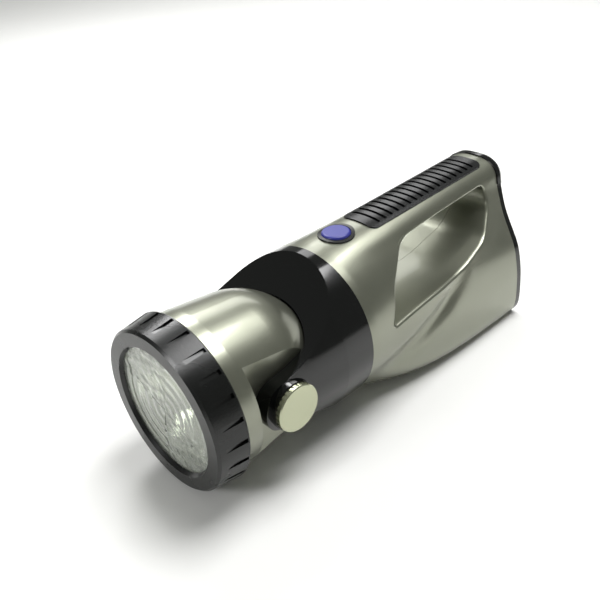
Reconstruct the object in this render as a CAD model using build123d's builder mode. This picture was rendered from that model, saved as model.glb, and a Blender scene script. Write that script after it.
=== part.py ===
"""Swivel-head hand crank torch: lamp head, yoke collar, handled body, folding crank and its gear train.

Lens faces -Y, handle on top (+Z), origin under the middle of the length on the surface it stands on.
Stations are distances from the front rim, heights are measured from the long axis, all in millimetres.
"""

import os
from math import atan2, cos, degrees, exp, hypot, pi, radians, sin, sqrt

from build123d import *

# ---- whole torch
AXIS_HEIGHT = 49.5
TOTAL_LENGTH = 275.6
RUNNING_GAP = 0.06
FIT_GAP = 0.1
FRONT_Y = -TOTAL_LENGTH / 2

# ---- lamp head
BEZEL_LENGTH = 18.6
BEZEL_FRONT_R = 47.0
BEZEL_REAR_R = 49.3
BEZEL_NOTCHES = 24
NOTCH_DEPTH = 1.3
NOTCH_WIDTH = 2.6
NOTCH_START = 3.0
LENS_VIEW_R = 36.6
LENS_R = 42.6
LIP_THICKNESS = 2.1
LENS_THICKNESS = 2.5
GASKET_THICKNESS = 1.2
FLANGE_THICKNESS = 1.5
NECK_R = 42.8
NECK_BORE_R = 40.2
BARREL_R = 46.0
BARREL_STRAIGHT = 27.0
HEAD_WALL = 2.6
DOME_CENTRE = 51.3
DOME_R = 43.3
FLAT_X = 35.0
RECESS_FRONT = 29.0
REFLECTOR_WALL = 1.2
REFLECTOR_VERTEX = 36.0
REFLECTOR_MOUTH_R = 38.4
REFLECTOR_HOLE_R = 6.0
REFLECTOR_FOCAL = 12.6

# ---- tilt pivot
PIVOT = 49.3
SLEEVE_R = 7.0
SLEEVE_BORE_R = 5.0
SLEEVE_FLANGE_R = 9.5
WASHER_R = 12.0
WASHER_THICKNESS = 0.6
DISC_R = 13.4
DISC_FACE_X = 51.4
DISC_THICKNESS = 3.1
DISC_FLUTES = 30
SIDE_GAP = 0.3

# ---- yoke collar
COLLAR_R = 48.0
COLLAR_REAR = 109.9
COLLAR_WALL = 3.0
ARM_R = 45.6
ARM_HALF_HEIGHT = 14.0
ARM_END_CENTRE = 46.0
ARM_FACE_X = FLAT_X + WASHER_THICKNESS + 0.2
SOCKET_GAP = 2.6

# ---- body shell
WALL = 3.0
REAR_STATION = 261.0
REAR_LEAN = 0.14
MORPH_START = 115.0
MORPH_TOP_LENGTH = 147.0
MORPH_LOW_LENGTH = 38.0
VALLEY_DEPTH = 2.6
VALLEY_WIDTH = 6.5
SPIGOT_R = 44.9
SPIGOT_BORE_R = 42.0
SPIGOT_LENGTH = 2.9
FRONT_FLANGE = 2.1
TUNNEL_WALL = 2.5

# ---- grip pad and button
PAD_FRONT = 151.0
PAD_REAR = 261.0
PAD_HALF_WIDTH = 13.2
PAD_CORNER_R = 5.0
PAD_PROUD = 0.8
PAD_SUNK = 1.8
PAD_RIBS = 18
PAD_BORDER = 2.4
RIB_GROOVE = 2.2
BUTTON_STATION = 133.3
BUTTON_R = 8.8
BUTTON_TRAVEL = 2.0
RING_R = 11.0
RING_FLANGE_R = 12.8

# ---- rear cover and crank
COVER_THICKNESS = 6.0
CAP_THICKNESS = 7.4
CAP_SPLIT = 39.0
CAP_GAP = 0.6
CRANK_HEIGHT = -11.0
DISH_R = 33.0
DISH_WALL = 2.0
DISH_DEPTH = 11.5
SHAFT_R = 3.0
CRANK_REACH = 24.0
KNOB_R = 4.0
KNOB_LENGTH = 33.0
POST_R = 1.9
ARM_PLATE = 2.2
RAIL_THICKNESS = 2.8
HINGE_PIN_R = 1.5

# ---- gear train
MODULE = 0.8
CRANK_TEETH = 50
WHEEL_TEETH = 40
PINION_TEETH = 12
GEAR_FACE = 5.0
BACKLASH = 0.16
PRESSURE_ANGLE = 20.0
GEAR_PIN_R = 1.5
PLATE_THICKNESS = 2.0

# ---- inside the body
CELL_R = 10.9
CELL_LENGTH = 43.0
CELL_FRONT = 157.0
BOARD_WIDTH = 67.0
SCREW_R = 1.25
SCREW_HEAD_R = 2.8
BOSS_R = 4.2


def station_plane(station, height=0.0):
    """Cross plane at a station, x to +X, y up, facing the front."""
    return Plane((0, FRONT_Y + station, AXIS_HEIGHT + height), x_dir=(1, 0, 0), z_dir=(0, -1, 0))


SIDE = Plane((0, FRONT_Y, AXIS_HEIGHT), x_dir=(0, 1, 0), z_dir=(1, 0, 0))
LONG_AXIS = Axis((0, 0, AXIS_HEIGHT), (0, 1, 0))


def side_plane(x):
    """Side view plane at x: local x is the station, local y the height."""
    return SIDE.offset(x)


def level_plane(height, station=0.0):
    """Level plane at a height above the long axis, local y to the rear."""
    return Plane((0, FRONT_Y + station, AXIS_HEIGHT + height))


# The rear face leans back towards the top; the crank and its gears stand square to it.
OUTWARD = Vector(0, 1, -REAR_LEAN).normalized()
INWARD = OUTWARD * -1
REAR_CENTRE = Vector(0, FRONT_Y + REAR_STATION + REAR_LEAN * CRANK_HEIGHT, AXIS_HEIGHT + CRANK_HEIGHT)


def rear_plane(depth):
    """Plane square to the crank axis, depth measured inwards from the shells' rear edge."""
    return Plane(REAR_CENTRE + INWARD * depth, x_dir=(1, 0, 0), z_dir=INWARD)


os.makedirs("parts", exist_ok=True)


def finish(builder, name):
    """Label a finished sub-part and write its STEP file."""
    builder.part.label = name
    export_step(builder.part, f"parts/{name}.step")


# ---------------------------------------------------------------- lamp head
LENS_FRONT = LIP_THICKNESS
LENS_REAR = LENS_FRONT + LENS_THICKNESS
FLANGE_FRONT = LENS_REAR + GASKET_THICKNESS
NECK_FRONT = FLANGE_FRONT + FLANGE_THICKNESS
BEZEL_BORE_R = NECK_R + 0.2
TAPER = degrees(atan2(BEZEL_REAR_R - BEZEL_FRONT_R, BEZEL_LENGTH))


def turned(points):
    """Sketch a closed polyline on the side plane and turn it about the long axis."""
    with BuildSketch(SIDE) as profile:
        with BuildLine():
            Polyline(*points, close=True)
        make_face()
    revolve(profile.sketch, axis=LONG_AXIS)


with BuildPart() as bezel_ring:
    turned([(0.0, LENS_VIEW_R + 1.4), (0.0, BEZEL_FRONT_R - 1.4), (1.4, BEZEL_FRONT_R),
            (BEZEL_LENGTH - 1.0, BEZEL_REAR_R), (BEZEL_LENGTH, BEZEL_REAR_R - 1.0),
            (BEZEL_LENGTH, BEZEL_BORE_R), (LIP_THICKNESS, BEZEL_BORE_R), (LIP_THICKNESS, LENS_VIEW_R)])
    with BuildSketch(station_plane((NOTCH_START + BEZEL_LENGTH) / 2)):
        with PolarLocations((BEZEL_FRONT_R + BEZEL_REAR_R) / 2 + 0.6, BEZEL_NOTCHES):
            Rectangle(2 * NOTCH_DEPTH, NOTCH_WIDTH)
    extrude(amount=(BEZEL_LENGTH - NOTCH_START) / 2 - 1.6, both=True, mode=Mode.SUBTRACT)
finish(bezel_ring, "bezel_ring")

with BuildPart() as front_lens:
    turned([(LENS_FRONT, 0), (LENS_FRONT, LENS_R), (LENS_REAR, LENS_R), (LENS_REAR, 0)])
finish(front_lens, "front_lens")

with BuildPart() as lens_gasket:
    turned([(LENS_REAR, NECK_BORE_R - 1.2), (LENS_REAR, LENS_R), (FLANGE_FRONT, LENS_R),
            (FLANGE_FRONT, NECK_BORE_R - 1.2)])
finish(lens_gasket, "lens_gasket")


def bowl_station(radius):
    """Station of the reflector's parabola at a radius."""
    return REFLECTOR_VERTEX - radius**2 / (4 * REFLECTOR_FOCAL)


BOARD_STATION = REFLECTOR_VERTEX + 1.0

with BuildPart() as reflector:
    rings = [REFLECTOR_HOLE_R + (REFLECTOR_MOUTH_R - REFLECTOR_HOLE_R) * k / 7 for k in range(8)]
    bowl = [(bowl_station(r), r) for r in rings]
    turned([(FLANGE_FRONT, LENS_R), (NECK_FRONT, LENS_R), (NECK_FRONT, REFLECTOR_MOUTH_R + REFLECTOR_WALL)]
           + [(s + REFLECTOR_WALL, r + REFLECTOR_WALL * 0.6) for s, r in reversed(bowl[1:-1])]
           + [(BOARD_STATION - 2.0, REFLECTOR_HOLE_R + REFLECTOR_WALL), (BOARD_STATION, REFLECTOR_HOLE_R + REFLECTOR_WALL),
              (BOARD_STATION, REFLECTOR_HOLE_R)]
           + bowl[:-1] + [(FLANGE_FRONT, REFLECTOR_MOUTH_R)])
finish(reflector, "reflector")

BOARD_R = 12.0
BOARD_THICKNESS = 1.6
SINK_R = 13.0
SINK_BASE = 2.0
SINK_HEIGHT = 7.0
SINK_FINS = 6
LAMP_BASE_R = 4.2
LAMP_DOME_R = 2.8

with BuildPart(station_plane(BOARD_STATION + BOARD_THICKNESS)) as led_board:
    Cylinder(BOARD_R, BOARD_THICKNESS, align=(Align.CENTER, Align.CENTER, Align.MIN))
finish(led_board, "led_board")

with BuildPart(station_plane(BOARD_STATION)) as led_lamp:
    Cylinder(LAMP_BASE_R, 1.2, align=(Align.CENTER, Align.CENTER, Align.MIN))
    with Locations((0, 0, 1.2)):
        Sphere(LAMP_DOME_R, arc_size1=0, align=(Align.CENTER, Align.CENTER, Align.MIN))
finish(led_lamp, "led_lamp")

with BuildPart(station_plane(BOARD_STATION + BOARD_THICKNESS)) as heat_sink:
    Cylinder(SINK_R, SINK_BASE, align=(Align.CENTER, Align.CENTER, Align.MAX))
    with Locations((0, 0, -SINK_BASE)):
        with GridLocations(0, 3.4, 1, SINK_FINS):
            Box(14.0, 1.2, SINK_HEIGHT - SINK_BASE, align=(Align.CENTER, Align.CENTER, Align.MAX))
finish(heat_sink, "heat_sink")


def head_solid(inset, flat_x, recess, front, neck_r):
    """Turned barrel and dome, drawn in by inset, with its two side flats behind the recess wall."""
    dome_r = DOME_R - inset
    back, up = DOME_CENTRE - BARREL_STRAIGHT, BARREL_R - inset
    reach = hypot(back, up)
    touch = atan2(up, -back) - atan2(sqrt(reach**2 - dome_r**2), dome_r)
    tangent = (DOME_CENTRE + dome_r * cos(touch), dome_r * sin(touch))
    middle = (DOME_CENTRE + dome_r * cos(touch / 2), dome_r * sin(touch / 2))
    shoulder = BEZEL_LENGTH + inset
    with BuildPart() as solid:
        with BuildSketch(SIDE):
            with BuildLine():
                Polyline((DOME_CENTRE + dome_r, 0), (front, 0), (front, neck_r), (shoulder, neck_r),
                         (shoulder, BARREL_R - inset), (BARREL_STRAIGHT, BARREL_R - inset), tangent)
                ThreePointArc(tangent, middle, (DOME_CENTRE + dome_r, 0))
            make_face()
        revolve(axis=LONG_AXIS)
        with BuildSketch(SIDE):
            with Locations((recess, 0)):
                Rectangle(4 * DOME_R, 4 * DOME_R, align=(Align.MIN, Align.CENTER))
        slab = extrude(amount=2 * DOME_R, both=True, mode=Mode.PRIVATE)
        with BuildSketch(SIDE):
            Rectangle(12 * DOME_R, 6 * DOME_R)
        middle_slab = extrude(amount=flat_x, both=True, mode=Mode.PRIVATE)
        add(slab - middle_slab, mode=Mode.SUBTRACT)
    return solid.part


head_cavity = head_solid(HEAD_WALL, FLAT_X - HEAD_WALL, RECESS_FRONT - HEAD_WALL, NECK_FRONT - 1.0, NECK_BORE_R)

with BuildPart() as head_shell:
    add(head_solid(0.0, FLAT_X, RECESS_FRONT, NECK_FRONT, NECK_R))
    add(head_cavity, mode=Mode.SUBTRACT)
    with BuildSketch(SIDE):
        with Locations((PIVOT, 0)):
            Circle(SLEEVE_R + FIT_GAP / 2)
    extrude(amount=FLAT_X + 5, both=True, mode=Mode.SUBTRACT)
finish(head_shell, "head_shell")

# ---------------------------------------------------------------- tilt pivot
BOSS_FACE_X = DISC_FACE_X - DISC_THICKNESS - SIDE_GAP
SLEEVE_INNER_X = FLAT_X - HEAD_WALL - 2.4
SLEEVE_OUTER_X = BOSS_FACE_X + SIDE_GAP - 0.1


def disc_from(x, radius, thickness, hole_r=0.0):
    """Round on the pivot axis from x outwards."""
    with BuildSketch(side_plane(x)) as profile:
        with Locations((PIVOT, 0)):
            Circle(radius)
            if hole_r:
                Circle(hole_r, mode=Mode.SUBTRACT)
    extrude(profile.sketch, amount=thickness)


with BuildPart() as pivot_sleeve:
    disc_from(SLEEVE_INNER_X, SLEEVE_R, SLEEVE_OUTER_X - SLEEVE_INNER_X, SLEEVE_BORE_R)
    disc_from(SLEEVE_INNER_X, SLEEVE_FLANGE_R, FLAT_X - HEAD_WALL - SLEEVE_INNER_X, SLEEVE_BORE_R)

with BuildPart() as friction_washer:
    disc_from(FLAT_X, WASHER_R, WASHER_THICKNESS, SLEEVE_R + FIT_GAP)

with BuildPart() as pivot_cap:
    disc_from(SLEEVE_OUTER_X + 0.1, DISC_R, DISC_THICKNESS)
    chamfer(pivot_cap.faces().sort_by(Axis.X)[-1].edges(), length=0.5)
    disc_from(BOSS_FACE_X - 9.0, SLEEVE_BORE_R - FIT_GAP, 9.0 + SIDE_GAP)
    with BuildSketch(side_plane(SLEEVE_OUTER_X + 0.1)):
        with Locations((PIVOT, 0)):
            with PolarLocations(DISC_R, DISC_FLUTES):
                Rectangle(0.9, 1.1)
    extrude(amount=DISC_THICKNESS - 0.9, mode=Mode.SUBTRACT)

for blank, node in ((pivot_sleeve, "pivot_sleeve"), (friction_washer, "friction_washer"), (pivot_cap, "pivot_cap")):
    finish(blank, f"{node}_right")
    with BuildPart() as mirrored:
        mirror(blank.part, about=Plane.YZ)
    finish(mirrored, f"{node}_left")

# ---------------------------------------------------------------- yoke collar
SOCKET_R = DOME_R + SOCKET_GAP
RIDGE = [(46.3, 13.9), (60.0, 16.6), (74.0, 22.2), (90.0, 32.5), (100.5, 43.2), (105.5, 50.0)]

with BuildPart() as socket_ball:
    with Locations((0, FRONT_Y + PIVOT, AXIS_HEIGHT)):
        Sphere(SOCKET_R)
        Box(2 * ARM_FACE_X, 4 * SOCKET_R, 4 * SOCKET_R, mode=Mode.INTERSECT)

with BuildPart() as collar_cavity:
    with BuildSketch(SIDE):
        with BuildLine():
            Polyline((COLLAR_REAR + 5, 54), (COLLAR_REAR + 5, -54), (107.0, -46.0), (90, -29.0), (84, -24),
                     (84, 24), (90, 29.0), (107.0, 46.0), close=True)
        make_face()
    extrude(amount=2 * COLLAR_R, both=True)
    with BuildSketch(SIDE) as bore_profile:
        with BuildLine():
            Polyline((60, 0), (60, COLLAR_R - COLLAR_WALL), (COLLAR_REAR + 5, COLLAR_R - COLLAR_WALL),
                     (COLLAR_REAR + 5, 0), close=True)
        make_face()
    revolve(axis=LONG_AXIS, mode=Mode.INTERSECT)
    with Locations((0, FRONT_Y + PIVOT, AXIS_HEIGHT)):
        Sphere(SOCKET_R + COLLAR_WALL - 0.5, mode=Mode.SUBTRACT)

with BuildPart() as yoke_collar:
    turned([(30.0, 0), (30.0, ARM_R), (62.0, ARM_R + 0.9), (90.0, COLLAR_R), (COLLAR_REAR, COLLAR_R),
            (COLLAR_REAR, 0)])
    with BuildSketch(SIDE):
        with BuildLine():
            Spline(*RIDGE)
            Polyline(RIDGE[-1], (COLLAR_REAR + 5, 70), (COLLAR_REAR + 5, -70), (RIDGE[-1][0], -RIDGE[-1][1]))
            Spline(*[(s, -h) for s, h in reversed(RIDGE)])
            ThreePointArc((RIDGE[0][0], -RIDGE[0][1]), (RIDGE[0][0] - ARM_HALF_HEIGHT, 0), RIDGE[0])
        make_face()
    extrude(amount=2 * COLLAR_R, both=True, mode=Mode.INTERSECT)
    with BuildSketch(SIDE):
        with Locations((PIVOT, 0)):
            Circle(ARM_HALF_HEIGHT)
    extrude(amount=BOSS_FACE_X, both=True)
    add(socket_ball.part, mode=Mode.SUBTRACT)
    add(collar_cavity.part, mode=Mode.SUBTRACT)
    with BuildSketch(SIDE):
        with Locations((PIVOT, 0)):
            Circle(SLEEVE_R + RUNNING_GAP)
    extrude(amount=2 * COLLAR_R, both=True, mode=Mode.SUBTRACT)
finish(yoke_collar, "yoke_collar")

# ---------------------------------------------------------------- body shells
# Right half of the rear outline, from the top centre round to the base centre: (across, height).
OUTLINE = [(0, 53.5), (9.5, 52.6), (15.5, 49.8), (19.7, 45), (22, 38), (24.4, 32), (27, 26), (30, 20), (33.5, 14),
           (37.2, 8), (40.8, 2), (43.6, -4.5), (45.6, -11), (47.1, -17), (48.2, -23.5), (49, -30), (49.5, -36),
           (48.3, -44.5), (43, -49.6), (34, -50.8), (18, -51), (0, -51)]


def smooth(value):
    """Smooth step from 0 to 1."""
    value = min(max(value, 0.0), 1.0)
    return value * value * (3 - 2 * value)


def growth(angle, station):
    """Share of the way from the round front ring to the rear outline, in a direction, at a station."""
    run = max(station - MORPH_START, 0.0)
    top = (run / MORPH_TOP_LENGTH) ** 0.9
    low = 1 - exp(-((run / MORPH_LOW_LENGTH) ** 1.3))
    share = smooth((40 - angle) / 70)
    return top * (1 - share) + low * share


def valley(station, across, height):
    """Depth of the soft valley that runs up each side below the handle opening."""
    if across < 20 or station <= 118:
        return 0.0
    line = -21 + 26.4 * max((station - 124.5) / 84, 0.0) ** 1.6
    fade = min((station - 118) / 25, 1.0) * min(max((212 - station) / 25, 0.0), 1.0)
    return VALLEY_DEPTH * fade * exp(-(((height - line) / VALLEY_WIDTH) ** 2))


def section_points(station, inset):
    """Right half of the body's section at a station, drawn in by inset along its own normals."""
    outer = []
    for across, height in OUTLINE:
        angle = degrees(atan2(height, across))
        radius = COLLAR_R + (hypot(across, height) - COLLAR_R) * growth(angle, station)
        x, z = radius * cos(radians(angle)), radius * sin(radians(angle))
        outer.append((x - valley(station, x, z), z))
    points = []
    for k, (x, z) in enumerate(outer):
        before = outer[k - 1] if k else (-outer[1][0], outer[1][1])
        after = outer[k + 1] if k + 1 < len(outer) else (-outer[-2][0], outer[-2][1])
        dx, dz = after[0] - before[0], after[1] - before[1]
        size = hypot(dx, dz)
        points.append((max(x + inset * dz / size, 0.0), z - inset * dx / size))
    points[0] = (0.0, points[0][1])
    points[-1] = (0.0, points[-1][1])
    return points


STATIONS = [116, 123, 132, 143, 156, 170, 186, 204, 224, 246, 264, 282]


def body_half(inset, first):
    """Right half of the body's outside, drawn in by inset, from a first station back past the rear face."""
    with BuildPart() as half:
        for station in [first] + STATIONS:
            points = section_points(station, inset)
            with BuildSketch(station_plane(station)):
                with BuildLine():
                    Spline(*points, tangents=((1, 0), (-1, 0)))
                    Line(points[-1], points[0])
                make_face()
        loft()
        split(bisect_by=level_plane(max(inset, 0.0) - AXIS_HEIGHT), keep=Keep.TOP)
    return half.part


def opening_prism(grow):
    """Handle opening through the body, its outline grown by a wall."""
    with BuildPart() as prism:
        with BuildSketch(SIDE):
            with BuildLine():
                FilletPolyline((129.5, 3.9), (140.5, 24.5), (163.5, 39.8), (252.0, 43.0), (251.5, 30.0), (234.0, 14.0),
                               (200.0, 5.8), radius=(2.0, 25.0, 30.0, 4.5, 14.0, 25.0, 80.0), close=True)
            make_face()
            if grow:
                offset(amount=grow)
        extrude(amount=2 * COLLAR_R, both=True)
    return prism.part


CASE_SCREWS = [(119.0, 30.0), (119.0, -30.0), (176.0, -4.5), (240.0, -43.4), (259.6, 46.0)]
COVER_SCREWS = [(-42.0, -19.0), (42.0, -19.0), (-12.5, 39.5), (12.5, 39.5)]
CASE_PILOT_DEPTH = 8.0
HEAD_SINK_X = 12.0

opening_hole = opening_prism(0)
right_outside = body_half(0.0, COLLAR_REAR)

with BuildPart() as bosses:
    with BuildSketch(SIDE):
        with Locations(*CASE_SCREWS):
            Circle(BOSS_R)
    extrude(amount=2 * COLLAR_R, both=True)
    with BuildSketch(rear_plane(-20)):
        with Locations(*COVER_SCREWS):
            Circle(BOSS_R)
    extrude(amount=20 + 12)

with BuildPart() as right_cavity:
    add(body_half(WALL, COLLAR_REAR + FRONT_FLANGE))
    add(opening_prism(TUNNEL_WALL), mode=Mode.SUBTRACT)
    add(bosses.part, mode=Mode.SUBTRACT)

with BuildPart() as button_hole:
    with BuildSketch(level_plane(20, BUTTON_STATION)):
        Circle(RING_R + FIT_GAP)
    extrude(amount=60)


def pad_plan(grow, base):
    """Outline of the grip pad seen from above, raised from a base height."""
    with BuildPart() as plan:
        with BuildSketch(level_plane(base, (PAD_FRONT + PAD_REAR) / 2)):
            RectangleRounded(2 * (PAD_HALF_WIDTH + grow), PAD_REAR - PAD_FRONT + 2 * grow, PAD_CORNER_R + grow)
        extrude(amount=60)
    return plan.part


def top_block(inset):
    """Block under the rounded top of the body, drawn in by inset, from the button back past the rear face."""
    with BuildPart() as block:
        for station in [COLLAR_REAR + 4] + STATIONS:
            right = [point for point in section_points(station, inset) if point[1] > 40 and point[0] < 21][:4]
            arch = [(-x, z) for x, z in reversed(right[1:])] + right
            with BuildSketch(station_plane(station)):
                with BuildLine():
                    Spline(*arch)
                    Polyline(arch[-1], (18, 25), (-18, 25), arch[0])
                make_face()
        loft()
    return block.part


pad_floor = top_block(PAD_SUNK)

with BuildPart() as pad_pocket:
    add(pad_plan(FIT_GAP, 30))
    add(pad_floor, mode=Mode.SUBTRACT)

with BuildPart() as right_blank:
    add(right_outside)
    add(right_cavity.part, mode=Mode.SUBTRACT)
    with BuildSketch(station_plane(COLLAR_REAR)):
        Circle(SPIGOT_R)
        Circle(SPIGOT_BORE_R, mode=Mode.SUBTRACT)
        with Locations((0, 0)):
            Rectangle(2 * COLLAR_R, 4 * COLLAR_R, align=(Align.MAX, Align.CENTER), mode=Mode.SUBTRACT)
    extrude(amount=SPIGOT_LENGTH)
    with BuildSketch(station_plane(COLLAR_REAR + FRONT_FLANGE)):
        Circle(SPIGOT_BORE_R)
    extrude(amount=FRONT_FLANGE, mode=Mode.SUBTRACT)
    add(opening_hole, mode=Mode.SUBTRACT)
    add(button_hole.part, mode=Mode.SUBTRACT)
    add(pad_pocket.part, mode=Mode.SUBTRACT)
    with BuildSketch(rear_plane(-20)):
        with Locations(*COVER_SCREWS):
            Circle(SCREW_R)
    extrude(amount=20 + 9, mode=Mode.SUBTRACT)
    split(bisect_by=rear_plane(0), keep=Keep.TOP)

with BuildPart() as body_shell_right:
    add(right_blank.part)
    with BuildSketch(SIDE):
        with Locations(*CASE_SCREWS):
            Circle(SCREW_R)
    extrude(amount=CASE_PILOT_DEPTH, mode=Mode.SUBTRACT)
finish(body_shell_right, "body_shell_right")

with BuildPart() as body_shell_left:
    mirror(right_blank.part, about=Plane.YZ)
    with BuildSketch(SIDE):
        with Locations(*CASE_SCREWS):
            Circle(SCREW_R + 0.3)
    extrude(amount=-2 * COLLAR_R, mode=Mode.SUBTRACT)
    with BuildSketch(side_plane(-HEAD_SINK_X)):
        with Locations(*CASE_SCREWS):
            Circle(SCREW_HEAD_R + 0.2)
    extrude(amount=-2 * COLLAR_R, mode=Mode.SUBTRACT)
finish(body_shell_left, "body_shell_left")

with BuildPart() as case_screws:
    with BuildSketch(side_plane(-HEAD_SINK_X)):
        with Locations(*CASE_SCREWS):
            Circle(SCREW_HEAD_R)
    extrude(amount=-2.2)
    with BuildSketch(side_plane(-HEAD_SINK_X)):
        with Locations(*CASE_SCREWS):
            Circle(SCREW_R - 0.02)
    extrude(amount=HEAD_SINK_X + CASE_PILOT_DEPTH - 0.5)
finish(case_screws, "case_screws")

# ---------------------------------------------------------------- grip pad
with BuildPart() as rib_cuts:
    pitch = (PAD_REAR - PAD_FRONT - 2 * PAD_BORDER) / PAD_RIBS
    with BuildSketch(level_plane(30, (PAD_FRONT + PAD_REAR) / 2)):
        with GridLocations(0, pitch, 1, PAD_RIBS - 1):
            Rectangle(2 * (PAD_HALF_WIDTH - PAD_BORDER), RIB_GROOVE)
    extrude(amount=60)
    add(top_block(0.3), mode=Mode.SUBTRACT)

with BuildPart() as grip_pad:
    add(top_block(-PAD_PROUD))
    add(pad_plan(0, 30), mode=Mode.INTERSECT)
    add(pad_floor, mode=Mode.SUBTRACT)
    add(rib_cuts.part, mode=Mode.SUBTRACT)
    split(bisect_by=rear_plane(0), keep=Keep.TOP)
finish(grip_pad, "grip_pad")

# ---------------------------------------------------------------- push switch
RING_FLANGE_TOP = 42.6
BUTTON_FLANGE_R = 9.8
BUTTON_FLOOR = 42.0
BUTTON_FLANGE_TOP = 43.8
BUTTON_TOP = 50.6
STOP_FACE = 44.3
SWITCH_PLATE_TOP = 37.2
SWITCH_PLATE = 1.2
POST_SPAN = 11.4

with BuildPart() as ring_flange:
    with BuildSketch(level_plane(RING_FLANGE_TOP - 2.1, BUTTON_STATION)):
        Circle(RING_FLANGE_R)
    extrude(amount=20)
    add(top_block(WALL + 0.05), mode=Mode.INTERSECT)

with BuildPart() as switch_ring:
    with BuildSketch(level_plane(RING_FLANGE_TOP, BUTTON_STATION)):
        Circle(RING_R)
    extrude(amount=20)
    add(top_block(-0.9), mode=Mode.INTERSECT)
    add(ring_flange.part)
    with BuildSketch(level_plane(RING_FLANGE_TOP - 2.1, BUTTON_STATION)):
        Circle(BUTTON_FLANGE_R + 0.2)
    extrude(amount=STOP_FACE - RING_FLANGE_TOP + 2.1, mode=Mode.SUBTRACT)
    with BuildSketch(level_plane(RING_FLANGE_TOP, BUTTON_STATION)):
        Circle(BUTTON_R + 0.1)
    extrude(amount=20, mode=Mode.SUBTRACT)
finish(switch_ring, "switch_ring")

with BuildPart() as switch_button:
    with BuildSketch(level_plane(BUTTON_FLOOR, BUTTON_STATION)):
        Circle(BUTTON_R)
    extrude(amount=BUTTON_TOP - BUTTON_FLOOR)
    fillet(switch_button.faces().sort_by(Axis.Z)[-1].edges(), radius=1.6)
    with BuildSketch(level_plane(BUTTON_FLOOR, BUTTON_STATION)):
        Circle(BUTTON_FLANGE_R)
    extrude(amount=BUTTON_FLANGE_TOP - BUTTON_FLOOR)
    with BuildSketch(level_plane(BUTTON_FLOOR, BUTTON_STATION)):
        Circle(BUTTON_R - 2.2)
        Circle(2.6, mode=Mode.SUBTRACT)
    extrude(amount=4.4, mode=Mode.SUBTRACT)
finish(switch_button, "switch_button")

with BuildPart() as switch_body:
    with BuildSketch(level_plane(SWITCH_PLATE_TOP - SWITCH_PLATE, BUTTON_STATION)):
        Rectangle(27, 14)
    extrude(amount=SWITCH_PLATE)
    with BuildSketch(level_plane(SWITCH_PLATE_TOP - SWITCH_PLATE, BUTTON_STATION)):
        Rectangle(13, 12)
    extrude(amount=-9)
    with BuildSketch(level_plane(SWITCH_PLATE_TOP, BUTTON_STATION)):
        with Locations((-POST_SPAN, 0), (POST_SPAN, 0)):
            Circle(1.1)
    extrude(amount=RING_FLANGE_TOP - 2.1 - SWITCH_PLATE_TOP)
    with BuildSketch(level_plane(SWITCH_PLATE_TOP, BUTTON_STATION)):
        Circle(2.5)
    extrude(amount=2.4)
finish(switch_body, "switch_body")

SPRING_R = 4.2
SPRING_WIRE_R = 0.35
SPRING_COILS = 5.0
SPRING_SPAN = BUTTON_FLOOR - SWITCH_PLATE_TOP - 2 * SPRING_WIRE_R

with BuildPart() as button_spring:
    with BuildLine(level_plane(SWITCH_PLATE_TOP + SPRING_WIRE_R, BUTTON_STATION)):
        coil = Helix(pitch=SPRING_SPAN / SPRING_COILS, height=SPRING_SPAN, radius=SPRING_R)
    with BuildSketch(Plane(origin=coil @ 0, z_dir=coil % 0)) as wire:
        Circle(SPRING_WIRE_R)
    sweep(wire.sketch, path=coil)
finish(button_spring, "button_spring")

# ---------------------------------------------------------------- battery tray and main board
CELL_PITCH = 2 * CELL_R + 0.3
CELL_HEIGHT = -AXIS_HEIGHT + WALL + 1.4 + CELL_R
TRAY_FLOOR = -AXIS_HEIGHT + WALL
TRAY_WALL = 1.6
TRAY_WIDTH = 2 * CELL_PITCH + 2 * CELL_R + 0.6
TRAY_LENGTH = CELL_LENGTH + 6.0
TRAY_HEIGHT = 26.0
CELL_REAR = CELL_FRONT + CELL_LENGTH
TRAY_CENTRE = CELL_FRONT + CELL_LENGTH / 2
BOARD_HEIGHT = TRAY_FLOOR + TRAY_HEIGHT
POST_X = 30.5
POST_REACH = (TRAY_LENGTH - TRAY_WALL) / 2
BOARD_SCREWS = [(x, y) for x in (-POST_X, POST_X) for y in (-POST_REACH, POST_REACH)]
PCB = 1.6

with BuildPart() as battery_cells:
    with BuildSketch(station_plane(CELL_REAR, CELL_HEIGHT)):
        with GridLocations(CELL_PITCH, 0, 3, 1):
            Circle(CELL_R)
    extrude(amount=CELL_LENGTH - 1.4)
    with BuildSketch(station_plane(CELL_FRONT + 1.4, CELL_HEIGHT)):
        with GridLocations(CELL_PITCH, 0, 3, 1):
            Circle(3.2)
    extrude(amount=1.4)
finish(battery_cells, "battery_cells")

tray_ring = section_points(TRAY_CENTRE - TRAY_LENGTH / 2 - 1, WALL + 0.15)

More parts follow.
